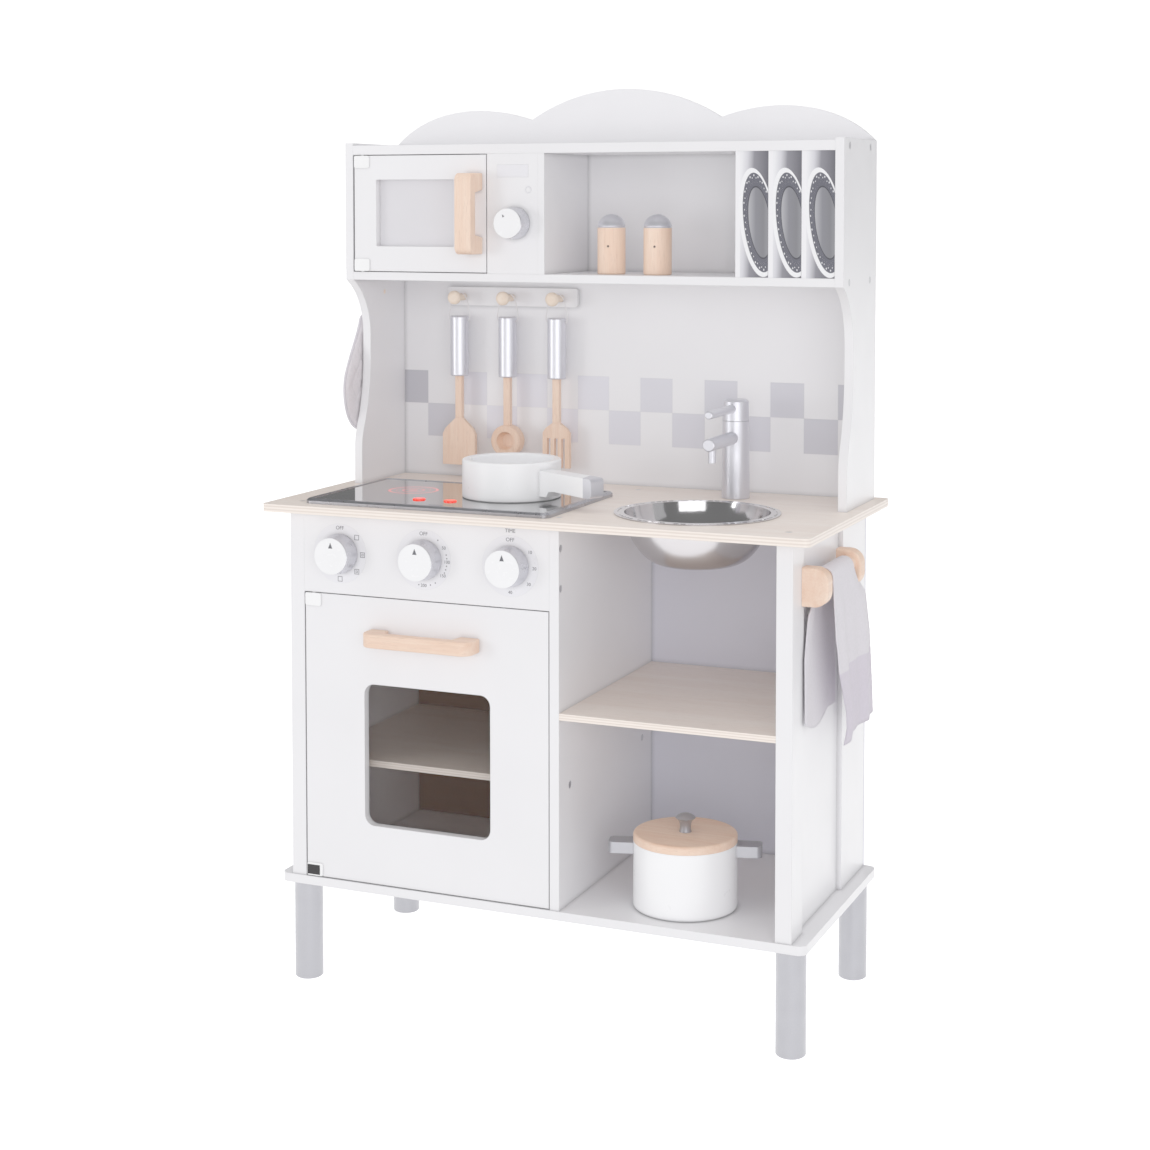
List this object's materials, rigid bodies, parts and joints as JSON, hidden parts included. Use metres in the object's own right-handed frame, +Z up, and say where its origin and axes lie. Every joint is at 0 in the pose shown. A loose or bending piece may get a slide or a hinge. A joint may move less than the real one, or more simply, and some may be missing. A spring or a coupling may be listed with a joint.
{
  "type": "toy kitchen",
  "caption": "Free-standing toy kitchen with an oven, microwave, hob, lift-out sink, swivelling tap, open shelves, pot, pan and hanging utensils.",
  "frame": {"origin": "on the floor, at the middle of the kitchen seen from above", "axes": "+Z up; -Y towards the child who plays with it; +X to that child's right, the side with the towel rail"},
  "size_m": [0.59, 0.287, 0.92],
  "materials": {
    "white_board": "satin",
    "plywood": "satin",
    "grey_board": "matt",
    "brown_board": "matt",
    "birch": "satin",
    "beech": "satin",
    "white_paint": "satin",
    "grey_paint": "satin",
    "silver_paint": "satin",
    "silver_plastic": "satin",
    "white_plastic": "gloss",
    "black_plastic": "gloss",
    "grey_plastic": "matt",
    "red_lens": "gloss",
    "smoked_pane": "gloss",
    "clear_pane": "gloss",
    "steel": "brushed",
    "cloth": "matt",
    "tape": "matt"
  },
  "bodies": {
    "cabinet": {"base_board": "white_board", "centre_divider": "white_board", "compartment_back": "grey_board", "compartment_shelf": "plywood", "control_panel": "white_board", "fittings": "steel", "hob_frame": "silver_plastic", "hob_glass": "black_plastic", "hob_housing": "grey_plastic", "battery_cover": "grey_plastic", "legs": "silver_paint", "lower_side_left": "white_board", "lower_side_right": "white_board", "microwave_panel": "white_board", "oven_back": "brown_board", "oven_shelf": "plywood", "peg_rail": "white_board", "pegs": "birch", "plate_panel": "white_board", "top_board": "white_board", "towel_rail": "birch", "upper_back": "white_board", "upper_divider": "white_board", "upper_shelf": "white_board", "upper_side_left": "white_board", "upper_side_right": "white_board", "worktop": "plywood"},
    "oven_door": {"oven_door": "white_board", "oven_handle": "birch", "oven_window": "smoked_pane", "oven_hinges": "white_plastic"},
    "microwave_door": {"microwave_door": "white_board", "microwave_handle": "birch", "microwave_window": "clear_pane", "microwave_hinges": "white_plastic"},
    "knob_mode": {"knob_mode": "silver_plastic"},
    "knob_temperature": {"knob_temperature": "silver_plastic"},
    "knob_timer": {"knob_timer": "silver_plastic"},
    "knob_microwave": {"knob_microwave": "silver_plastic"},
    "hob_button_left": {"hob_button_left": "red_lens"},
    "hob_button_right": {"hob_button_right": "red_lens"},
    "tap": {"tap": "silver_paint"},
    "tap_lever": {"tap_lever": "silver_paint"},
    "sink_bowl": {"sink_bowl": "steel"},
    "pan": {"pan": "white_paint", "pan_handle": "silver_paint"},
    "pot": {"pot": "white_paint", "pot_handles": "grey_paint"},
    "lid": {"lid": "birch", "lid_knob": "grey_paint"},
    "salt_shaker": {"salt_shaker": "beech"},
    "pepper_shaker": {"pepper_shaker": "beech"},
    "spatula_loop": {"spatula_loop": "tape"},
    "spatula": {"spatula": "beech"},
    "ladle_loop": {"ladle_loop": "tape"},
    "ladle": {"ladle": "beech"},
    "turner_loop": {"turner_loop": "tape"},
    "turner": {"turner": "beech"},
    "towel": {"towel": "cloth"},
    "mitt": {"mitt": "cloth"}
  },
  "joints": [
    {"name": "oven_door_hinge", "type": "hinge", "parent": "cabinet", "child": "oven_door", "pos_m": [-0.241, -0.1175, 0.247], "axis": [0, 0, -1], "range_deg": [0, 105]},
    {"name": "microwave_door_hinge", "type": "hinge", "parent": "cabinet", "child": "microwave_door", "pos_m": [-0.256, 0.0145, 0.787], "axis": [0, 0, -1], "range_deg": [0, 105]},
    {"name": "knob_mode_turn", "type": "hinge", "parent": "cabinet", "child": "knob_mode", "pos_m": [-0.20895, -0.121, 0.446], "axis": [0, -1, 0], "continuous": true},
    {"name": "knob_temperature_turn", "type": "hinge", "parent": "cabinet", "child": "knob_temperature", "pos_m": [-0.11445, -0.121, 0.446], "axis": [0, -1, 0], "continuous": true},
    {"name": "knob_timer_turn", "type": "hinge", "parent": "cabinet", "child": "knob_timer", "pos_m": [-0.01995, -0.121, 0.446], "axis": [0, -1, 0], "continuous": true},
    {"name": "knob_microwave_turn", "type": "hinge", "parent": "cabinet", "child": "knob_microwave", "pos_m": [-0.0755, 0.011, 0.7775], "axis": [0, -1, 0], "continuous": true},
    {"name": "hob_button_left_press", "type": "slide", "parent": "cabinet", "child": "hob_button_left", "axis": [0, 0, -1], "range_m": [0, 0.0012], "stiffness_N_per_m": 300},
    {"name": "hob_button_right_press", "type": "slide", "parent": "cabinet", "child": "hob_button_right", "axis": [0, 0, -1], "range_m": [0, 0.0012], "stiffness_N_per_m": 300},
    {"name": "tap_swivel", "type": "hinge", "parent": "cabinet", "child": "tap", "pos_m": [0.141, 0.083, 0.54], "axis": [0, 0, 1], "range_deg": [-60, 60]},
    {"name": "tap_lever_turn", "type": "hinge", "parent": "tap", "child": "tap_lever", "pos_m": [0.141, 0.083, 0.588], "axis": [0, 0, 1], "range_deg": [-45, 45]},
    {"name": "sink_lift", "type": "slide", "parent": "cabinet", "child": "sink_bowl", "axis": [0, 0, 1], "range_m": [0, 0.036]},
    {"name": "pan_lift", "type": "slide", "parent": "cabinet", "child": "pan", "axis": [0, 0, 1], "range_m": [0, 0.12]},
    {"name": "pot_out", "type": "slide", "parent": "cabinet", "child": "pot", "axis": [0, -1, 0], "range_m": [0, 0.2]},
    {"name": "lid_lift", "type": "slide", "parent": "pot", "child": "lid", "axis": [0, 0, 1], "range_m": [0, 0.05]},
    {"name": "salt_shaker_out", "type": "slide", "parent": "cabinet", "child": "salt_shaker", "axis": [0, -1, 0], "range_m": [0, 0.12]},
    {"name": "pepper_shaker_out", "type": "slide", "parent": "cabinet", "child": "pepper_shaker", "axis": [0, -1, 0], "range_m": [0, 0.12]},
    {"name": "spatula_unhook", "type": "slide", "parent": "cabinet", "child": "spatula_loop", "axis": [0, -0.8944, 0.4472], "range_m": [0, 0.034]},
    {"name": "spatula_swing", "type": "hinge", "parent": "spatula_loop", "child": "spatula", "pos_m": [-0.1895, 0.1105, 0.6695], "axis": [-1, 0, 0], "range_deg": [0, 15]},
    {"name": "ladle_unhook", "type": "slide", "parent": "cabinet", "child": "ladle_loop", "axis": [0, -0.8944, 0.4472], "range_m": [0, 0.034]},
    {"name": "ladle_swing", "type": "hinge", "parent": "ladle_loop", "child": "ladle", "pos_m": [-0.131, 0.1105, 0.6695], "axis": [-1, 0, 0], "range_deg": [0, 15]},
    {"name": "turner_unhook", "type": "slide", "parent": "cabinet", "child": "turner_loop", "axis": [0, -0.8944, 0.4472], "range_m": [0, 0.034]},
    {"name": "turner_swing", "type": "hinge", "parent": "turner_loop", "child": "turner", "pos_m": [-0.0725, 0.1105, 0.6695], "axis": [-1, 0, 0], "range_deg": [0, 15]},
    {"name": "towel_along_bar", "type": "slide", "parent": "cabinet", "child": "towel", "axis": [0, 1, 0], "range_m": [-0.01, 0.01]},
    {"name": "mitt_unhook", "type": "slide", "parent": "cabinet", "child": "mitt", "axis": [-0.9119, 0, 0.4104], "range_m": [0, 0.03]}
  ]
}
